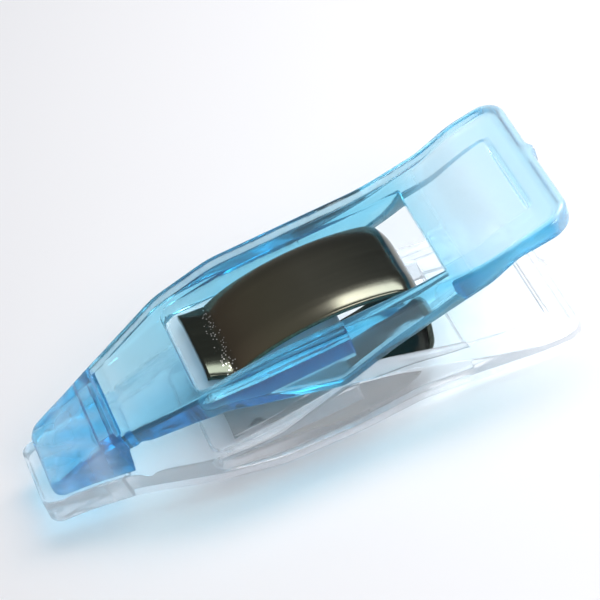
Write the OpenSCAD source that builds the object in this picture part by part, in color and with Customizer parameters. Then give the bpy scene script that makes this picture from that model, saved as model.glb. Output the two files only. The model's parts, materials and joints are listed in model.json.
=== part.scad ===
// Small two-lever spring clip: a tinted upper lever, a clear lower lever and a C-shaped band spring.
// The levers are drawn about the plane where they meet (z = 0), with x counted from the nose.
// lie_down() then turns the closed clip so that it rests on its lower lever, with the floor at z = 0.

/* [Levers] */
// Length of the upper lever, nose to handle end
upper_length = 27.2; // [26.8:0.1:27.6]
// Length of the lower lever behind the upper nose's place
lower_length = 26.6; // [26.6:0.1:27]
// Width over the handles
handle_width = 9.9; // [9.6:0.1:10.4]
// Width over the middle of the clip
body_width = 8.9; // [8.6:0.1:9.4]
// Width of the jaws
nose_width = 4.6; // [4.2:0.1:5]
// How far the upper lever is set back from the lower one
set_back = 0.45; // [0:0.05:0.6]
// How much longer the lower jaw is than the upper one
jaw_ahead = 0.25; // [0:0.05:0.3]
// Width of the raised rim along each side
rim = 0.4; // [0.3:0.05:0.5]
// Width of the lip across the handle end
lip = 0.25; // [0.15:0.05:0.4]
// Depth of the sunk deck below the rim
sink = 0.35; // [0.2:0.05:0.5]
// The same at the rear of the handle
handle_sink = 0.25; // [0.2:0.05:0.35]
// Thickness of the floor plate
plate = 0.85; // [0.7:0.05:1]

/* [Window and channel] */
// Half the clear width between the side walls
bay_half = 3.15; // [3:0.05:3.3]
// Front end of the spring's recess
recess_front = 8.1; // [7.8:0.1:8.4]
// Front edge of the through window
window_front = 15.6; // [15:0.1:16]
// Rear edge of the through window
window_rear = 21.05; // [20.8:0.05:21.3]
// Half width of the finger channel
channel_half = 2.9; // [2.6:0.1:3]
// Rear end of the finger channel
channel_rear = 25.6; // [25:0.1:25.8]
// Depth of the finger channel beside the window
channel_start = 0.35; // [0.2:0.05:0.4]
// Depth of the finger channel at its rear end
channel_end = 0.1; // [0.05:0.05:0.2]

/* [Spring] */
// Width of the spring band
band_width = 5.3; // [4.8:0.1:5.5]
// Thickness of the spring band
band_thick = 0.3; // [0.25:0.01:0.32]

/* [Hidden] */

arc_steps = 6;        // straight steps in a rounded corner
curve_steps = 12;     // straight steps in a spring curve
big = 20;             // reach of a cutter beyond the clip
fulcrum_x = 15;       // where the two levers rock on each other
fulcrum_gap = 0.04;   // half the running gap at the fulcrum
ear_r = 1;            // radius of the ears that rock on each other
ear_tip = fulcrum_gap - 0.05 * ear_r;  // where the ear's two flanks would meet
jaw_z = -0.7;         // height of the closed jaw line
jaw_gap = 0.02;       // half the gap between the closed jaws
ridge_rear = 3.9;      // rear of the solid jaw block, where the sunk deck starts
seat_z = 1.92;        // recess floor that the spring's crease presses on
land_x = 13.5;        // middle of the land that the clip lies on
land_z = 3.2;         // its height below the meeting plane
land_end_z = 3.67;    // the same at the handle end
land_end_x = 26.5;
land_half = 1.5;      // half the length of each land
tilt = atan2(land_end_z - land_z, land_end_x - land_x);

// Depth of the resting line below the meeting plane at x
function rest(x) = land_z + (x - land_x) * tan(tilt);

// Corner b of a path a-b-c, rounded with radius r
function corner(a, b, c, r) =
    let (u = (a - b) / norm(a - b), v = (c - b) / norm(c - b))
    let (half = acos(u * v) / 2, mid = (u + v) / norm(u + v))
    let (centre = b + mid * r / sin(half), reach = r / tan(half))
    let (p = b + u * reach - centre, q = b + v * reach - centre)
    [for (i = [0 : arc_steps]) let (d = p * (1 - i / arc_steps) + q * i / arc_steps) centre + d * r / norm(d)];

// Closed outline through [x, y, radius] points
function rounded(pts) = let (n = len(pts)) [
    for (i = [0 : n - 1])
        let (b = [pts[i][0], pts[i][1]], r = pts[i][2])
        let (a = pts[(i + n - 1) % n], c = pts[(i + 1) % n])
        each r == 0 ? [b] : corner([a[0], a[1]], b, [c[0], c[1]], r)];

// Points on a cubic curve, without its first point
function cubic(a, b, c, d) = [
    for (i = [1 : curve_steps]) let (t = i / curve_steps, s = 1 - t)
        a * s * s * s + b * 3 * s * s * t + c * 3 * s * t * t + d * t * t * t];

// Outer and inner edge of the upper lever's side, nose to handle
upper_outer = [
    [0.15, 0.05, 0.3], [1.3, 0.65, 0.5], [4.1, 1.72, 2], [8.2, 2.92, 4], [11.5, 3.27, 8],
    [19, 3.12, 8], [22.2, 3.42, 5], [24.2, 3.98, 5], [upper_length, 4.45, 0.3]];
upper_inner = [
    [upper_length, 3.4, 0.2], [24.2, 3.1, 1.5], [22.6, 2.25, 2], [20, 1.5, 4], [17.3, 0.88, 2],
    [fulcrum_x - set_back, ear_tip, ear_r],
    [11.4, 0.98, 2], [9.2, 1.5, 2], [7.7, 1.45, 2], [4.2, 0.8, 0.3],
    [4.0, jaw_z + jaw_gap, 0.45], [0, jaw_z + jaw_gap, 0.25]];

// The same for the lower lever, as depths below the meeting plane
lower_outer = [
    [-jaw_ahead, 2.26, 0.6], [4.3, 2.3, 3], [8.7, 2.8, 4], [11, 3.12, 3],
    [land_x - land_half, rest(land_x - land_half), 0], [land_x + land_half, rest(land_x + land_half), 0],
    [18.2, 3.08, 3], [20.6, 3.38, 3],
    [land_end_x - 2 * land_half, rest(land_end_x - 2 * land_half), 0],
    [land_end_x, rest(land_end_x), 0], [lower_length, rest(lower_length) - 0.12, 0]];
lower_inner = [
    [lower_length, 2.9, 0.2], [24.4, 2.7, 1.5], [22.6, 2.3, 2], [20, 1.5, 4], [17.5, 0.62, 2],
    [fulcrum_x, ear_tip, ear_r],
    [11.6, 0.85, 2], [9.6, 1.05, 2], [7.7, 1.08, 2], [4.2, 0.82, 0.6],
    [3.8, -jaw_z + jaw_gap, 0.2], [-jaw_ahead, -jaw_z + jaw_gap, 0.3]];

// Half of the plan outline, from its front end to its rear end
function half_plan(front, rear) = [
    [front, -nose_width / 2, 0.7], [1.8, -nose_width / 2 - 0.1, 2], [4.2, -nose_width / 2 - 0.6, 3],
    [8, -body_width / 2 + 0.5, 3], [11, -body_width / 2 + 0.05, 8],
    [20, -body_width / 2 - 0.05, 12], [24.6, -handle_width / 2, 6], [rear, -handle_width / 2 + 0.08, 1.2]];
function mirrored(pts) = [for (i = [len(pts) - 1 : -1 : 0]) [pts[i][0], -pts[i][1], pts[i][2]]];

// Centre line of the spring band, from the upper tip over the arch to the middle of the bend
tip = [9.35, 2.5];
crease = [10.6, seat_z + 0.06 + band_thick / 2];
shoulder = [18.9, 2.5];
bend = [19.95, 1.3];
half_band = concat(
    [tip, crease], cubic(crease, [12.2, 3], [15.8, 3.4], shoulder),
    cubic(shoulder, [19.6, 2.32], [19.9, 1.9], bend), [[20.05, 0.5]]);
band_line = concat(half_band, [for (i = [len(half_band) - 1 : -1 : 0]) [half_band[i][0], -half_band[i][1]]]);

// Outline of a band of thickness t along a line
function side_step(line, i) =
    let (a = line[max(i - 1, 0)], b = line[min(i + 1, len(line) - 1)], d = (b - a) / norm(b - a))
    [-d[1], d[0]];
function band(line, t) = concat(
    [for (i = [0 : len(line) - 1]) line[i] + side_step(line, i) * t / 2],
    [for (i = [len(line) - 1 : -1 : 0]) line[i] - side_step(line, i) * t / 2]);

// Extrudes an x-z outline across the clip, y from -half to half
module across(points, half) {
    translate([0, half, 0]) rotate([90, 0, 0]) linear_extrude(2 * half) polygon(points);
}

// Extrudes an x-y outline through the whole height
module upright(points) {
    translate([0, 0, -big / 2]) linear_extrude(big) polygon(points);
}

// Prism above a floor line, between two half widths' walls, with rounded plan corners
module above(floor_line, plan) {
    first = floor_line[0];
    last = floor_line[len(floor_line) - 1];
    intersection() {
        across(concat(floor_line, [[last[0], big], [first[0], big]]), big / 2);
        upright(rounded(plan));
    }
}

// Rectangle in plan with corner radius r
function bay(x0, x1, half, r) = [[x0, -half, r], [x1, -half, r], [x1, half, r], [x0, half, r]];

// Depth of the sunk deck below the rim at x
function sink_at(x) = lookup(x, [[window_rear, sink], [channel_rear, handle_sink]]);

// Height of the sunk deck inside the rim of a lever with this outer edge
function deck(outer, x) = lookup(x, [for (p = outer) [p[0], p[1]]]) - sink_at(x);

// One lever standing on the meeting plane; outer and inner are its side edges, front and rear its ends
module lever(outer, inner, front, rear) {
    half = half_plan(front, rear);
    half_deck = concat([[ridge_rear, -nose_width / 2 - 0.05, 0.3]],
        [for (p = half) if (p[0] > ridge_rear + 1 && p[0] < rear) [p[0], p[1] + rim, p[2]]],
        [[rear - lip, -handle_width / 2 + rim + 0.08, 0.9]]);
    deck_line = concat([[ridge_rear, deck(outer, ridge_rear)]],
        [for (p = outer) if (p[0] > ridge_rear + 1 && p[0] < rear) [p[0], p[1] - sink_at(p[0])]],
        [[rear + 1, deck(outer, rear)]]);
    difference() {
        intersection() {
            across(rounded(concat(outer, inner)), handle_width);
            upright(rounded(concat(half, mirrored(half))));
        }
        // sunk deck inside the side rims, from the ridge behind the jaw to the handle end
        above(deck_line, concat(half_deck, mirrored(half_deck)));
        // recess that holds the spring arm
        above([[recess_front, seat_z], [window_rear, seat_z]], bay(recess_front, window_rear, bay_half, 0.8));
        // window
        upright(rounded(bay(window_front, window_rear, bay_half, 0.4)));
        // finger channel in the handle's deck
        above([[window_rear - 0.2, deck(outer, window_rear) - channel_start],
            [channel_rear, deck(outer, channel_rear) - channel_end]],
            bay(window_rear - 0.2, channel_rear, channel_half, 0.3));
        // hollow between the skirts, under the floor plate
        across([[4.6, -1], [4.6, deck(outer, 4.6) - plate], [recess_front, seat_z - plate],
            [window_front + 0.1, seat_z - plate], [window_front + 0.1, -1]], bay_half);
    }
}

// Lays the closed clip on its lower lever and centres it on the origin
module lie_down() {
    xs = concat(
        [for (p = rounded(concat(upper_outer, upper_inner))) (p[0] + set_back) * cos(tilt) - p[1] * sin(tilt)],
        [for (p = rounded(concat(lower_outer, lower_inner))) p[0] * cos(tilt) + p[1] * sin(tilt)]);
    lift = rest(0) * cos(tilt);
    translate([-(min(xs) + max(xs)) / 2, 0, lift]) rotate([0, -tilt, 0]) children();
}

// Tinted lever on top
module upper_lever() {
    color([0.45, 0.75, 0.95, 0.6])
        lie_down() translate([set_back, 0, 0]) lever(upper_outer, upper_inner, 0, upper_length);
}

// Clear lever underneath
module lower_lever() {
    color([0.88, 0.92, 0.95, 0.5])
        lie_down() mirror([0, 0, 1]) lever(lower_outer, lower_inner, -jaw_ahead, lower_length);
}

// Dark plated band spring that squeezes both levers ahead of the fulcrum
module spring() {
    color([0.24, 0.24, 0.22]) lie_down() across(band(band_line, band_thick), band_width / 2);
}

upper_lever();
lower_lever();
spring();
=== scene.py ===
"""Small two-lever spring clip lying on a pale table: sky-blue lever, clear lever, dark band spring."""

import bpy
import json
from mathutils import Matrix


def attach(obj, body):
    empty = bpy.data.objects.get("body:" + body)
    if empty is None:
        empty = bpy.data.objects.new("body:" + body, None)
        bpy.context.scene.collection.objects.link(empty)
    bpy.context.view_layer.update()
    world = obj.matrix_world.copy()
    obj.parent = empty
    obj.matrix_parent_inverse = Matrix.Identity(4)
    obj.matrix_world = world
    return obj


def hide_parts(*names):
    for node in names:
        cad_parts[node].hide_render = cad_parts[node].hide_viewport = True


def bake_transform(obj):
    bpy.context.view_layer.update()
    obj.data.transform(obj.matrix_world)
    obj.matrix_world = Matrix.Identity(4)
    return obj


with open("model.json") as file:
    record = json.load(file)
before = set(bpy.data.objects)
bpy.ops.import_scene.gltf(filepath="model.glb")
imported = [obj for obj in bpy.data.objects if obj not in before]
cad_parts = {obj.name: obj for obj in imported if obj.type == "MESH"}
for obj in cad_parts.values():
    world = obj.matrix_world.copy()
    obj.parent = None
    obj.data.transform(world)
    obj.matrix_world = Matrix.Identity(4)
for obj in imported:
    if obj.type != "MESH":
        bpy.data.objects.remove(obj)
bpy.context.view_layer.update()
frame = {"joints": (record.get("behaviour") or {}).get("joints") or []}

import json
import math

import bpy
import numpy as np
from mathutils import Matrix, Vector

scene = bpy.context.scene

# ---------------------------------------------------------------------------------------------
# The blue lever. One injection moulding in sky-blue styrene: a solid jaw, a rim round a sunk deck, a
# recess and a window for the spring, and skirts whose rounded ears rock on the other lever's. Only
# the spring holds it on.

# Both levers share one tool shape. It is drawn in millimetres about the plane where the levers
# meet, with x from the nose, y across and z away from the other lever.
length = 27.0
side_line = [(0, 2.25), (1.8, 2.4), (4.2, 2.88), (8, 3.98), (11, 4.4), (20, 4.5), (24.6, 4.95), (27, 4.87)]
nose_corner, end_corner = 0.6, 1.2
rim, rim_inner, rim_fillet = 0.42, 0.8, 0.3
deck_sink, deck_sink_rear, deck_sink_end = 0.36, 0.25, 0.07
bar_front, bar_rear, ridge_rear = 2.95, 3.84, 3.9
recess_front, window_front, window_rear, channel_rear = 8.1, 15.6, 21.05, 25.6
bay_half, bay_clear, bay_corner, channel_half = 3.15, 0.9, 0.7, 2.9
channel_depth, channel_depth_rear, groove_depth = 0.35, 0.1, 0.28
seat, plate = 1.92, 0.85
hollow_front, ears_front = 4.6, 6.0
outer_edge, inner_edge, window_edge = 0.3, 0.14, 0.08
sink_mark, jaw_rear, pad_front = 0.03, 3.6, 21.8

# The closed clip rests on its lower lever, on the land under its middle and on its handle's end, and
# so leans a little. The hinge's place in the frame is the fulcrum of the drawing.
hinge_place = np.array(frame["joints"][0]["pos_m"])
fulcrum = np.array([15.0, 0.0, 1.03])
land, handle_end = (13.5, 3.2), (26.5, 3.67)
lean = math.atan2(handle_end[1] - land[1], handle_end[0] - land[0])


def lie_down(points):
    """Turns drawn points by the lean about the cross axis, then moves the fulcrum onto the hinge."""
    x, y, z = (points - fulcrum).T * 0.001
    along = x * math.cos(lean) - z * math.sin(lean)
    upward = x * math.sin(lean) + z * math.cos(lean)
    return np.stack([along, y, upward], 1) + hinge_place


def eased(x, points, ease):
    """Straight lines through the points, each corner eased by averaging over a stretch of x."""
    line = np.array(points)
    shifts = np.linspace(-ease, ease, 9)
    return np.mean([np.interp(x + shift, line[:, 0], line[:, 1]) for shift in shifts], axis=0)


def rise(value, width):
    """Goes smoothly from 0 to 1 as value passes 0: 3s^2 - 2s^3 over the width."""
    s = np.clip(value / width + 0.5, 0, 1)
    return s * s * (3 - 2 * s)


def rounding(depth, radius):
    """How far a surface falls near its edge: a quarter circle of the radius."""
    inner = np.clip(radius - depth, 0, radius)
    return radius - np.sqrt(radius ** 2 - inner ** 2)


def depth_inside(x, y, front, rear, half, corner):
    """Distance in from the edge of a rectangle with round corners; negative outside it."""
    along = np.maximum(front - x, x - rear) + corner
    across = np.abs(y) - half + corner
    outside = np.hypot(np.maximum(along, 0), np.maximum(across, 0))
    return corner - outside - np.minimum(np.maximum(along, across), 0)


def outline(x):
    """Half width of the plan: the side line less a quarter circle at each end."""
    return eased(x, side_line, 0.5) - rounding(x, nose_corner) - rounding(length - x, end_corner)


def edge_depth(x, y):
    """Distance in from the plan's outline."""
    corner = np.where(x < length / 2, nose_corner, end_corner)
    return depth_inside(x, y, 0.0, length, eased(x, side_line, 0.5), corner)


def from_window(x, y):
    """Distance out from the window's edge, and 0 inside it."""
    return np.maximum(-depth_inside(x, y, window_front, window_rear, bay_half, 0.02), 0)


def groove(x, y):
    """1 along the groove that ends the finger channel, falling off fore and aft as a bell curve."""
    return np.exp(-((x - channel_rear) / 0.1) ** 2) * rise(channel_half - 0.5 - np.abs(y + 0.2), 1.0)


def crowded(marks, coarse, fine, reach):
    """Grid places from the first mark to the last, coarse apart, and fine apart near each mark."""
    marks = np.array(marks)
    even = np.arange(marks[0], marks[-1], coarse)
    near = (marks[:, None] + np.arange(-reach, reach + fine / 2, fine)[None]).ravel()
    places = np.unique(np.round(np.concatenate([marks, even, near]), 4))
    places = places[(places >= marks[0]) & (places <= marks[-1])]
    apart = np.concatenate([[True], np.diff(places) > fine * 0.6])
    return places[apart | np.isin(places, marks)]


def plan_grid():
    """Plan of the lever's grid, and the two columns that bound the window.

    Rows run across, crowded at each feature and at the round corners. Columns keep to the bay's
    width near the middle, spread over the deck, and follow the outline under the rim."""
    turn = np.linspace(0, math.pi / 2, 14)
    nose = nose_corner * (1 - np.cos(turn))
    end = length - end_corner * (1 - np.cos(turn))
    features = [nose_corner, 2.9, 3.85, 4.1, recess_front, window_front, window_rear,
                channel_rear - 0.1, channel_rear, channel_rear + 0.1, length - end_corner]
    x = np.unique(np.concatenate([nose, end, crowded(features, 0.2, 0.03, 0.15)]).round(5))
    x = x[np.concatenate([[True], np.diff(x) > 0.004])]
    half = outline(x)[:, None]
    bay = np.minimum(bay_half, half - bay_clear)
    across_bay = np.concatenate([np.linspace(0, 0.84, 22), np.linspace(0.86, 1, 14)])
    across_deck = np.linspace(0, 1, 6)[1:]
    fillet = rim_fillet * (1 - np.cos(np.linspace(math.pi / 2, 0, 11)))
    across_rim = np.concatenate([np.linspace(rim_inner - 0.04, rim_fillet + 0.03, 17), fillet])
    side = np.concatenate([
        bay * across_bay, bay + (half - rim_inner - bay) * across_deck, half - across_rim], 1)
    y = np.concatenate([-side[:, :0:-1], side], 1)
    centre, bay_edge = side.shape[1] - 1, len(across_bay) - 1
    return np.broadcast_to(x[:, None], y.shape), y, (centre - bay_edge, centre + bay_edge)


def outer_height(x, y, rim_line, ridge):
    """Outer face: the rim's line, less the sunk deck, the finger channel, its groove and the spring's
    recess, plus the cross ridge and sine waves of sink marks on the jaw, with rounded edges."""
    z = eased(x, rim_line, 0.35)
    edge = edge_depth(x, y)
    deck = rise(edge - rim, 0.26) * rise(x - ridge_rear, 0.16)
    sink = np.interp(x, [window_rear, channel_rear, length], [deck_sink, deck_sink_rear, deck_sink_end])
    z = z - sink * deck
    z = z + ridge * rise(x - bar_front, 0.2) * rise(bar_rear - x, 0.12) * rise(edge - 0.3, 0.3)
    channel = rise(depth_inside(x, y, window_rear - 1, channel_rear, channel_half, 0.3), 0.09)
    z = z - np.interp(x, [window_rear, channel_rear], [channel_depth, channel_depth_rear]) * channel
    z = z - groove_depth * groove(x, y)
    recess = rise(depth_inside(x, y, recess_front, window_rear, bay_half, bay_corner), 0.1)
    z = z + (seat - z) * recess * (x <= window_front + 0.01)
    marks = np.sin(4.6 * x + 1.7 * np.sin(2.9 * y)) + np.sin(4.1 * y + 2.3 * x + 0.8)
    z = z - sink_mark * marks * rise(2.7 - x, 0.8) * rise(edge - 0.5, 0.5)
    return z - rounding(edge, outer_edge) - rounding(from_window(x, y), window_edge)


def inner_height(x, y, skirt_line):
    """Inner face: the skirts' edge with its rocking ear, the hollow under the plate, rounded edges."""
    z = eased(x, skirt_line, np.where(x > ears_front, 0.3, 0.04))
    hollow = rise(depth_inside(x, y, hollow_front, window_rear + 2, bay_half - 0.02, 0.3), 0.12)
    z = z + np.clip(seat - plate - z, 0, None) * hollow * (x < window_rear)
    return z + rounding(edge_depth(x, y), inner_edge) + rounding(from_window(x, y), window_edge)


def milkiness_and_painted_highlight(x, y):
    """How milky the plastic is, 0 to 1: the handle's pad, the spring's recess and clouds in the jaw. The
    pad's and the recess's whitening is a painted highlight; the jaw's clouds are partly the plastic's own
    clouding and partly painted brightening.
    """
    inside_rim = rise(edge_depth(x, y) - 0.55, 0.5)
    at_end = 0.9 * rise(x - length + 0.9, 0.5)
    # the pad's and the recess's whitening is a painted highlight
    pad = rise(x - pad_front, 2.4) * np.maximum(inside_rim, at_end) * (1 - groove(x, y))
    recess = 0.7 * rise(depth_inside(x, y, recess_front, window_rear, bay_half, bay_corner) - 0.1, 0.15)
    # the jaw's clouds are partly the plastic's own clouding and partly painted brightening
    clouds = np.sin(1.9 * x + 1.6 * np.sin(1.5 * y + 0.7)) * np.sin(2.1 * y + 1.2 * x + 0.6)
    jaw = rise(jaw_rear - x, 1.0) * (0.48 + 0.38 * clouds)
    return np.maximum(np.maximum(pad, recess), jaw)


def lever_faces(rows, columns, hole_rows, hole_columns, turned_over):
    """Quads of the outer sheet, the inner sheet, the outline's wall and the window's wall."""
    index = np.arange(rows * columns).reshape(rows, columns)
    under = index + rows * columns
    r0, r1 = hole_rows
    c0, c1 = hole_columns
    solid = np.ones((rows - 1, columns - 1), bool)
    solid[r0:r1, c0:c1] = False

    def quads(*corners):
        """One quad from each place in four equal arrays of corners."""
        return np.stack([corner.ravel() for corner in corners], 1)

    def wall(line):
        """Wall down from a run of the outer sheet that has the solid on its left."""
        low = line + rows * columns
        return quads(line[:-1], low[:-1], low[1:], line[1:])

    sheet = quads(index[:-1, :-1], index[1:, :-1], index[1:, 1:], index[:-1, 1:])[solid.ravel()]
    back = quads(under[:-1, :-1], under[:-1, 1:], under[1:, 1:], under[1:, :-1])[solid.ravel()]
    outside = [index[:, 0], index[-1, :], index[::-1, -1], index[0, ::-1]]
    window = [index[r1:r0 - 1:-1, c0], index[r0, c0:c1 + 1], index[r0:r1 + 1, c1], index[r1, c1:c0 - 1:-1]]
    faces = np.concatenate([sheet, back] + [wall(line) for line in outside + window])
    return faces[:, ::-1] if turned_over else faces


def mesh_piece(name, points, faces, material):
    """Makes a closed, smooth shaded piece from drawn points and faces."""
    mesh = bpy.data.meshes.new(name)
    mesh.from_pydata(lie_down(points).tolist(), [], faces)
    mesh.polygons.foreach_set("use_smooth", [True] * len(mesh.polygons))
    mesh.materials.append(material)
    mesh.update()
    piece = bpy.data.objects.new(name, mesh)
    scene.collection.objects.link(piece)
    return piece


def lever(name, material, rim_line, skirt_line, side, ridge, gate, back=0.0, nose_ahead=0.0, trail=0.0):
    """One moulding: the solid between its two faces' heights on the grid.

    It is set back from the other lever, its nose stands ahead, its handle end trails, and the torn
    gate stands from the end edge, where sine waves make it ragged."""
    x, y, window_columns = plan_grid()
    window_rows = [int(np.abs(x[:, 0] - place).argmin()) for place in (window_front, window_rear)]
    ragged = 1 + 0.3 * np.sin(17 * y + 3) + 0.15 * np.sin(41 * y)
    stub = np.clip((x - length + 0.5) / 0.5, 0, 1) ** 2 * np.exp(-((y - 0.45) / 0.42) ** 4)
    at_nose, at_end = np.clip(1 - x / 3, 0, 1), rise(x - 25.4, 3)
    moved_x = x + back - nose_ahead * at_nose + trail * at_end + gate * stub * ragged
    heights = outer_height(x, y, rim_line, ridge), inner_height(x, y, skirt_line)
    points = np.concatenate([np.stack([moved_x, y, side * z], -1).reshape(-1, 3) for z in heights])
    faces = lever_faces(*x.shape, window_rows, window_columns, side < 0)
    used, numbered = np.unique(faces, return_inverse=True)
    piece = mesh_piece(name, points[used], numbered.reshape(faces.shape).tolist(), material)
    # the milky map, partly a painted highlight, goes on the mesh as a point attribute
    milk_and_highlight = np.tile(milkiness_and_painted_highlight(x, y).ravel(), 2)[used]
    piece.data.attributes.new("milk_and_highlight", "FLOAT", "POINT").data.foreach_set("value", milk_and_highlight)
    return piece


def add_node(tree, kind, inputs, **settings):
    """Adds a shader node, sets its properties, and sets or links its inputs by name or by number."""
    node = tree.nodes.new("ShaderNode" + kind)
    for setting, value in settings.items():
        setattr(node, setting, value)
    for key, value in inputs.items():
        if isinstance(value, bpy.types.NodeSocket):
            tree.links.new(value, node.inputs[key])
        else:
            node.inputs[key].default_value = value
    return node


def empty_material(name):
    """A material with an empty node tree, and that tree."""
    material = bpy.data.materials.new(name)
    material.use_nodes = True
    material.node_tree.nodes.clear()
    return material, material.node_tree


def moulded_plastic(name, passed, density, body, clear, milk_and_highlight, lamp_tint):
    """Glossy plastic whose tint is absorbed along the light's path inside it. Flow lines and wiping
    marks wave its surface, its milky places scatter, and lamps shine through it as a plain tint. Where
    the milky places whiten a handle's pad and the spring's recess, they are a painted highlight."""
    material, tree = empty_material(name)
    place = add_node(tree, "TexCoord", {}).outputs["Object"]
    flow = add_node(tree, "TexNoise", {"Vector": place, "Scale": 520.0, "Detail": 3.0, "Roughness": 0.45})
    stretched = add_node(tree, "Mapping", {"Vector": place, "Scale": (90.0, 2600.0, 900.0)}).outputs["Vector"]
    wiped = add_node(tree, "TexNoise", {"Vector": stretched, "Scale": 1.0, "Detail": 4.0, "Roughness": 0.6})
    haze = add_node(tree, "MapRange", {
        "Value": wiped.outputs["Fac"], "From Min": 0.45, "From Max": 0.75, "To Min": 0.07, "To Max": 0.24})
    waves = add_node(tree, "Bump", {"Height": flow.outputs["Fac"], "Strength": 0.4, "Distance": 0.0001})
    marks = add_node(tree, "Bump", {
        "Height": wiped.outputs["Fac"], "Normal": waves.outputs["Normal"],
        "Strength": 0.12, "Distance": 0.00002})
    # whitening by the milky map: a painted highlight on the pad and the recess
    milk_and_highlight_place = add_node(tree, "Attribute", {}, attribute_name="milk_and_highlight").outputs["Fac"]
    clearness = add_node(tree, "MapRange", {"Value": milk_and_highlight_place, "To Min": clear, "To Max": milk_and_highlight})
    shell = add_node(tree, "BsdfPrincipled", {
        "Base Color": body, "Roughness": haze.outputs["Result"], "IOR": 1.52,
        "Transmission Weight": clearness.outputs["Result"], "Normal": marks.outputs["Normal"]})
    lamps = add_node(tree, "BsdfTransparent", {"Color": lamp_tint})
    to_lamp = add_node(tree, "LightPath", {}).outputs["Is Shadow Ray"]
    surface = add_node(tree, "MixShader", {0: to_lamp, 1: shell.outputs["BSDF"], 2: lamps.outputs["BSDF"]})
    inside = add_node(tree, "VolumeAbsorption", {"Color": passed, "Density": density})
    add_node(tree, "OutputMaterial", {
        "Surface": surface.outputs["Shader"], "Volume": inside.outputs["Volume"]})
    return material


blue_plastic = moulded_plastic("blue_plastic", passed=(0.0, 0.8, 0.965, 1), density=700.0,
                               body=(0.86, 0.92, 0.97, 1), clear=0.97, milk_and_highlight=0.6,
                               lamp_tint=(0.7, 0.7, 0.7, 1))
blue_rim = [(-1, -0.45), (0.15, 0.1), (1.3, 0.68), (4.1, 1.74), (8.2, 2.9), (11.5, 3.27), (19, 3.14),
            (22.6, 3.38), (24.5, 3.94), (28, 4.62)]
blue_skirt = [(-1, -0.68), (3.98, -0.68), (4.14, 0.8), (7.7, 1.45), (9.2, 1.5), (11.4, 0.98), (14.55, 0.0),
              (17.3, 0.88), (20, 1.5), (22.6, 2.25), (24.2, 3.1), (28, 3.5)]
blue_lever = lever("blue_lever", blue_plastic, blue_rim, blue_skirt,
                   side=1, ridge=0.2, gate=0.16, back=0.45, trail=0.2)
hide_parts("upper_lever")
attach(blue_lever, "top")

# ---------------------------------------------------------------------------------------------
# The clear lever. The same moulding in water-clear styrene, turned over: its jaw is flat and stands
# a little ahead, its handle is a little shorter and straighter, and the clip lies on it.
clear_plastic = moulded_plastic("clear_plastic", passed=(0.0, 0.2, 0.35, 1), density=22.0,
                                body=(0.96, 0.96, 0.98, 1), clear=0.8, milk_and_highlight=0.74,
                                lamp_tint=(0.94, 0.94, 0.95, 1))
clear_rim = [(-1, 2.25), (4.3, 2.3), (8.7, 2.8), (11, 3.1), (12, 3.14), (15, 3.25), (18.2, 3.08),
             (20.6, 3.38), (23.5, 3.55), (26.5, 3.66), (28, 3.7)]
clear_skirt = [(-1, 0.72), (3.9, 0.72), (4.2, 0.8), (7.7, 1.08), (9.6, 1.05), (11.6, 0.85), (15, 0.0),
               (17.5, 0.62), (20, 1.5), (22.6, 2.3), (24.4, 2.7), (28, 2.97)]
clear_lever = lever("clear_lever", clear_plastic, clear_rim, clear_skirt,
                    side=-1, ridge=0.05, gate=0.1, nose_ahead=0.25, trail=-0.4)
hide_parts("lower_lever")
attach(clear_lever, "base")

# ---------------------------------------------------------------------------------------------
# The spring. One strip of thin spring steel, bent to a C, heat treated and plated dark nickel. Its
# ends press on the levers' seats at a crease, where the plating is crazed and glints.
band_width, band_thick, band_edge = 5.3, 0.3, 0.12
flat_to, side_sag, tip_narrowing = 1.25, 0.22, 0.09
tip, crease = np.array([9.35, 2.52]), np.array([10.6, 2.13])
shoulder, bend, back = np.array([18.9, 2.5]), np.array([19.95, 1.3]), np.array([20.05, 0.0])
nickel_deep, nickel_pale = (0.135, 0.124, 0.094, 1), (0.18, 0.172, 0.137, 1)
bare_steel = (0.9, 0.88, 0.84, 1)
crazed_at, crazed_reach = 1.25, 0.55
# the plating's tones by centimetres from the tip: darker and blue-green at the tip and at the rear bend,
# a painted reflection of the blue plastic and painted shade, and warmer just past the crease
tones_and_painted_reflections = [(0.11, (0.35, 0.42, 0.42, 1)), (0.17, (0.95, 0.8, 0.68, 1)), (0.4, (0.92, 0.9, 0.78, 1)),
              (0.65, (0.85, 0.88, 0.86, 1)), (0.95, (0.5, 0.56, 0.58, 1))]


def curve(start, leave, arrive, stop, count):
    """Points on the cubic curve that leaves start toward one place and reaches stop from another."""
    t = np.linspace(0, 1, count + 1)[1:, None]
    s = 1 - t
    return start * s ** 3 + 3 * leave * s ** 2 * t + 3 * arrive * s * t ** 2 + stop * t ** 3


def band_line():
    """Centre line in x and z: tip, crease, arch, shoulder and back, then the same mirrored below."""
    before = crease + (tip - crease) * 0.25
    after = crease + np.array([0.3, 0.14])
    upper_half = np.concatenate([
        tip + (before - tip) * np.linspace(0, 1, 8)[:, None],
        curve(before, crease, crease, after, 12),
        curve(after, np.array([12.3, 2.95]), np.array([15.8, 3.42]), shoulder, 44),
        curve(shoulder, np.array([19.6, 2.32]), np.array([19.9, 1.9]), bend, 22),
        curve(bend, np.array([20.0, 0.9]), np.array([20.05, 0.5]), back, 10)])
    return np.concatenate([upper_half, upper_half[-2::-1] * [1, -1]])


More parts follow.
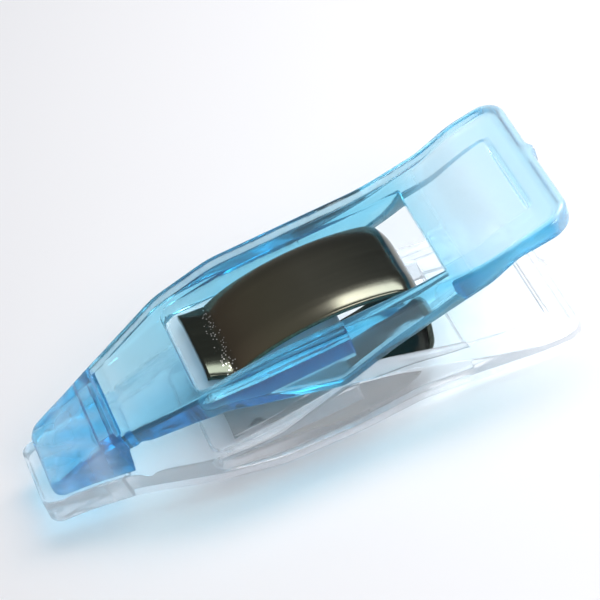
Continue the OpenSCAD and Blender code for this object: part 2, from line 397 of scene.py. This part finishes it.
def band_points():
    """The strip's section carried along the line and turned with it, and each point's distance from
    the nearer tip. The section is flat in the middle, sags toward its sides by a square law, has
    quarter-round edges, and narrows toward the tips."""
    line = band_line()
    ahead = np.gradient(line, axis=0)
    ahead /= np.linalg.norm(ahead, axis=1)[:, None]
    turn = np.linspace(0, math.pi / 2, 6)
    inner_half = band_width / 2 - band_edge
    inner_y = np.linspace(-1, 1, 41)[1:-1] * inner_half
    edge_y = inner_half + band_edge * np.sin(turn)
    edge_z = band_thick / 2 - band_edge * (1 - np.cos(turn))
    face_y = np.concatenate([-edge_y[::-1], inner_y, edge_y])
    face_z = np.concatenate([edge_z[::-1], np.full(len(inner_y), band_thick / 2), edge_z])
    section_y = np.concatenate([face_y, face_y[::-1]])
    sag = side_sag * (np.clip(np.abs(section_y) - flat_to, 0, None) / (band_width / 2 - flat_to)) ** 2
    section_z = np.concatenate([face_z, -face_z[::-1]]) - sag
    run = np.concatenate([[0], np.cumsum(np.linalg.norm(np.diff(line, axis=0), axis=1))])
    from_tip = np.minimum(run, run[-1] - run)
    narrowed = 1 - tip_narrowing * (1 - rise(from_tip - 0.75, 1.5))
    x = line[:, :1] - ahead[:, 1:] * section_z
    z = line[:, 1:] + ahead[:, :1] * section_z
    return np.stack([x, section_y * narrowed[:, None], z], -1), np.repeat(from_tip, len(section_y))


def band_faces(stations, ring):
    """Quads round the section from station to station, and a strip of quads over each end."""
    index = np.arange(stations * ring).reshape(stations, ring)
    turned = np.roll(index, -1, axis=1)
    around = np.stack([index[:-1], index[1:], turned[1:], turned[:-1]], -1).reshape(-1, 4)
    half = ring // 2

    def end(row):
        """Quads between the outer and the inner face's points in one ring."""
        outer, inner = row[:half], row[:half - 1:-1]
        return np.stack([outer[:-1], outer[1:], inner[1:], inner[:-1]], 1)

    return np.concatenate([around, end(index[0]), end(index[-1])[:, ::-1]]).tolist()


def add_ramp(tree, value, stops):
    """Colour ramp through the stops, each a place from 0 to 1 and a colour."""
    ramp = add_node(tree, "ValToRGB", {"Fac": value})
    elements = ramp.color_ramp.elements
    elements.remove(elements[1])
    elements[0].position, elements[0].color = stops[0]
    for place, colour in stops[1:]:
        elements.new(place).color = colour
    return ramp.outputs["Color"]


def plated_steel():
    """Dark nickel plate: a nearly black mirror whose tone drifts with cloud noise and with distance
    from the tip, drawn faintly along, and bare in small cells that are likeliest at the crease. The
    darker, blue-green tone at the tip and at the rear bend is a painted reflection of the blue plastic
    and painted shade."""
    material, tree = empty_material("plated_steel")
    place = add_node(tree, "TexCoord", {}).outputs["Object"]
    from_tip = add_node(tree, "Attribute", {}, attribute_name="from_tip").outputs["Fac"]
    cloud = add_node(tree, "TexNoise", {"Vector": place, "Scale": 350.0, "Detail": 3.0}).outputs["Fac"]
    nickel = add_node(tree, "Mix", {0: cloud, 6: nickel_deep, 7: nickel_pale}, data_type="RGBA").outputs[2]
    # tones by distance from the tip: a painted reflection and painted shade at the tip and the rear bend
    centimetres = add_node(tree, "Math", {0: from_tip, 1: 0.1}, operation="MULTIPLY").outputs[0]
    nickel_with_painted_reflections = add_node(tree, "Mix", {0: 1.0, 6: nickel, 7: add_ramp(tree, centimetres, tones_and_painted_reflections)},
                      data_type="RGBA", blend_type="MULTIPLY").outputs[2]

    cells = add_node(tree, "TexVoronoi", {"Vector": place, "Scale": 8200.0})
    speck = add_node(tree, "MapRange", {
        "Value": cells.outputs["Distance"], "From Min": 0.38, "From Max": 0.2, "To Min": 0.0, "To Max": 1.0},
        interpolation_type="SMOOTHSTEP").outputs["Result"]
    past_crease = add_node(tree, "Math", {0: from_tip, 1: crazed_at}, operation="SUBTRACT").outputs[0]
    from_crease = add_node(tree, "Math", {0: past_crease}, operation="ABSOLUTE").outputs[0]
    likelihood = add_node(tree, "MapRange", {
        "Value": from_crease, "From Min": 0.0, "From Max": crazed_reach, "To Min": 0.8, "To Max": -0.02},
        interpolation_type="SMOOTHSTEP").outputs["Result"]
    chance = add_node(tree, "SeparateColor", {"Color": cells.outputs["Color"]}).outputs["Red"]
    crazed = add_node(tree, "Math", {0: chance, 1: likelihood}, operation="LESS_THAN").outputs[0]
    bare = add_node(tree, "Math", {0: speck, 1: crazed}, operation="MULTIPLY").outputs[0]
    plating = add_node(tree, "Mix", {0: bare, 6: nickel_with_painted_reflections, 7: bare_steel}, data_type="RGBA").outputs[2]

    grain = add_node(tree, "Mapping", {"Vector": place, "Scale": (150.0, 3000.0, 150.0)}).outputs["Vector"]
    drawn = add_node(tree, "TexNoise", {"Vector": grain, "Scale": 1.0, "Detail": 3.0}).outputs["Fac"]
    haze = add_node(tree, "MapRange", {"Value": drawn, "To Min": 0.12, "To Max": 0.26}).outputs["Result"]
    lines = add_node(tree, "Bump", {"Height": drawn, "Strength": 0.15, "Distance": 0.00001}).outputs["Normal"]
    metal = add_node(tree, "BsdfPrincipled", {
        "Base Color": plating, "Metallic": 1.0, "Roughness": haze, "Normal": lines})
    add_node(tree, "OutputMaterial", {"Surface": metal.outputs["BSDF"]})
    return material


strip, strip_from_tip = band_points()
band_spring = mesh_piece("band_spring", strip.reshape(-1, 3), band_faces(*strip.shape[:2]), plated_steel())
band_spring.data.attributes.new("from_tip", "FLOAT", "POINT").data.foreach_set("value", strip_from_tip)
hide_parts("spring")
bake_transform(band_spring)

# ---------------------------------------------------------------------------------------------
# The table. A wide board with a pale, dull painted finish. The clip lies loose on it, and the levers'
# tinted shadows fall on it.
table_reach = 0.6
table_mesh = bpy.data.meshes.new("table")
table_mesh.from_pydata([(-table_reach, -table_reach, 0), (table_reach, -table_reach, 0),
                        (table_reach, table_reach, 0), (-table_reach, table_reach, 0)], [], [(0, 1, 2, 3)])
table_paint, paint_tree = empty_material("table_paint")
painted = add_node(paint_tree, "BsdfPrincipled", {"Base Color": (0.86, 0.86, 0.88, 1), "Roughness": 0.6})
add_node(paint_tree, "OutputMaterial", {"Surface": painted.outputs["BSDF"]})
table_mesh.materials.append(table_paint)
table = bpy.data.objects.new("table", table_mesh)
scene.collection.objects.link(table)

# ---------------------------------------------------------------------------------------------
# The light. Two softboxes in a white room: one stands behind the clip and glosses its spring, the
# other stands on the near side. The room is brightest at the foot of its walls and overhead.
room_tint = np.array([0.95, 0.96, 1.0])
room_light = [(0.0, 0.8), (0.16, 0.5), (0.32, 0.23), (0.5, 0.24), (0.9, 0.42)]


def softbox(name, place, width, depth, power):
    """Rectangular lamp at a place, facing the origin, with its depth square to the world's x."""
    lamp = bpy.data.lights.new(name, "AREA")
    lamp.shape, lamp.size, lamp.size_y, lamp.energy = "RECTANGLE", width, depth, power
    box = bpy.data.objects.new(name, lamp)
    back = Vector(place).normalized()
    over = back.cross(Vector((1, 0, 0))).normalized()
    facing = Matrix((over.cross(back), over, back)).transposed().to_4x4()
    box.matrix_world = Matrix.Translation(place) @ facing
    scene.collection.objects.link(box)


softbox("gloss", (0.052, 0.030, 0.086), width=0.078, depth=0.03, power=0.08)
softbox("key", (0.040, -0.078, 0.086), width=0.05, depth=0.05, power=0.052)
room = bpy.data.worlds.new("studio")
room.use_nodes = True
room_tree = room.node_tree
direction = add_node(room_tree, "TexCoord", {}).outputs["Generated"]
height = add_node(room_tree, "SeparateXYZ", {"Vector": direction}).outputs["Z"]
shade = add_ramp(room_tree, height, [(place, (*room_tint * light, 1)) for place, light in room_light])
room_tree.links.new(shade, room_tree.nodes["Background"].inputs["Color"])
scene.world = room
scene.cycles.max_bounces = 24
scene.cycles.transmission_bounces = 24
scene.view_settings.view_transform = "Standard"

# ---------------------------------------------------------------------------------------------
# The camera. A long lens, close in, looks down on the near side of the clip, and is rolled so that
# the clip runs up across the frame from its jaws to its handles.
azimuth, elevation, roll = math.radians(6.06), math.radians(42.46), math.radians(-19.76)
aim, distance = Vector((0.001391, 0.0026, 0.003)), 0.1418
level_part = math.cos(elevation)
ahead = Vector((math.sin(azimuth) * level_part, math.cos(azimuth) * level_part, -math.sin(elevation)))
level = Vector((math.cos(azimuth), -math.sin(azimuth), 0))
upward = level.cross(ahead)
right = level * math.cos(roll) + upward * math.sin(roll)
up = upward * math.cos(roll) - level * math.sin(roll)
lens = bpy.data.cameras.new("camera")
lens.lens, lens.sensor_width = 175.4, 36.0
lens.clip_start, lens.clip_end = 0.005, 5.0
camera = bpy.data.objects.new("camera", lens)
facing = Matrix((right, up, -ahead)).transposed().to_4x4()
camera.matrix_world = Matrix.Translation(aim - ahead * distance) @ facing
scene.collection.objects.link(camera)
scene.camera = camera
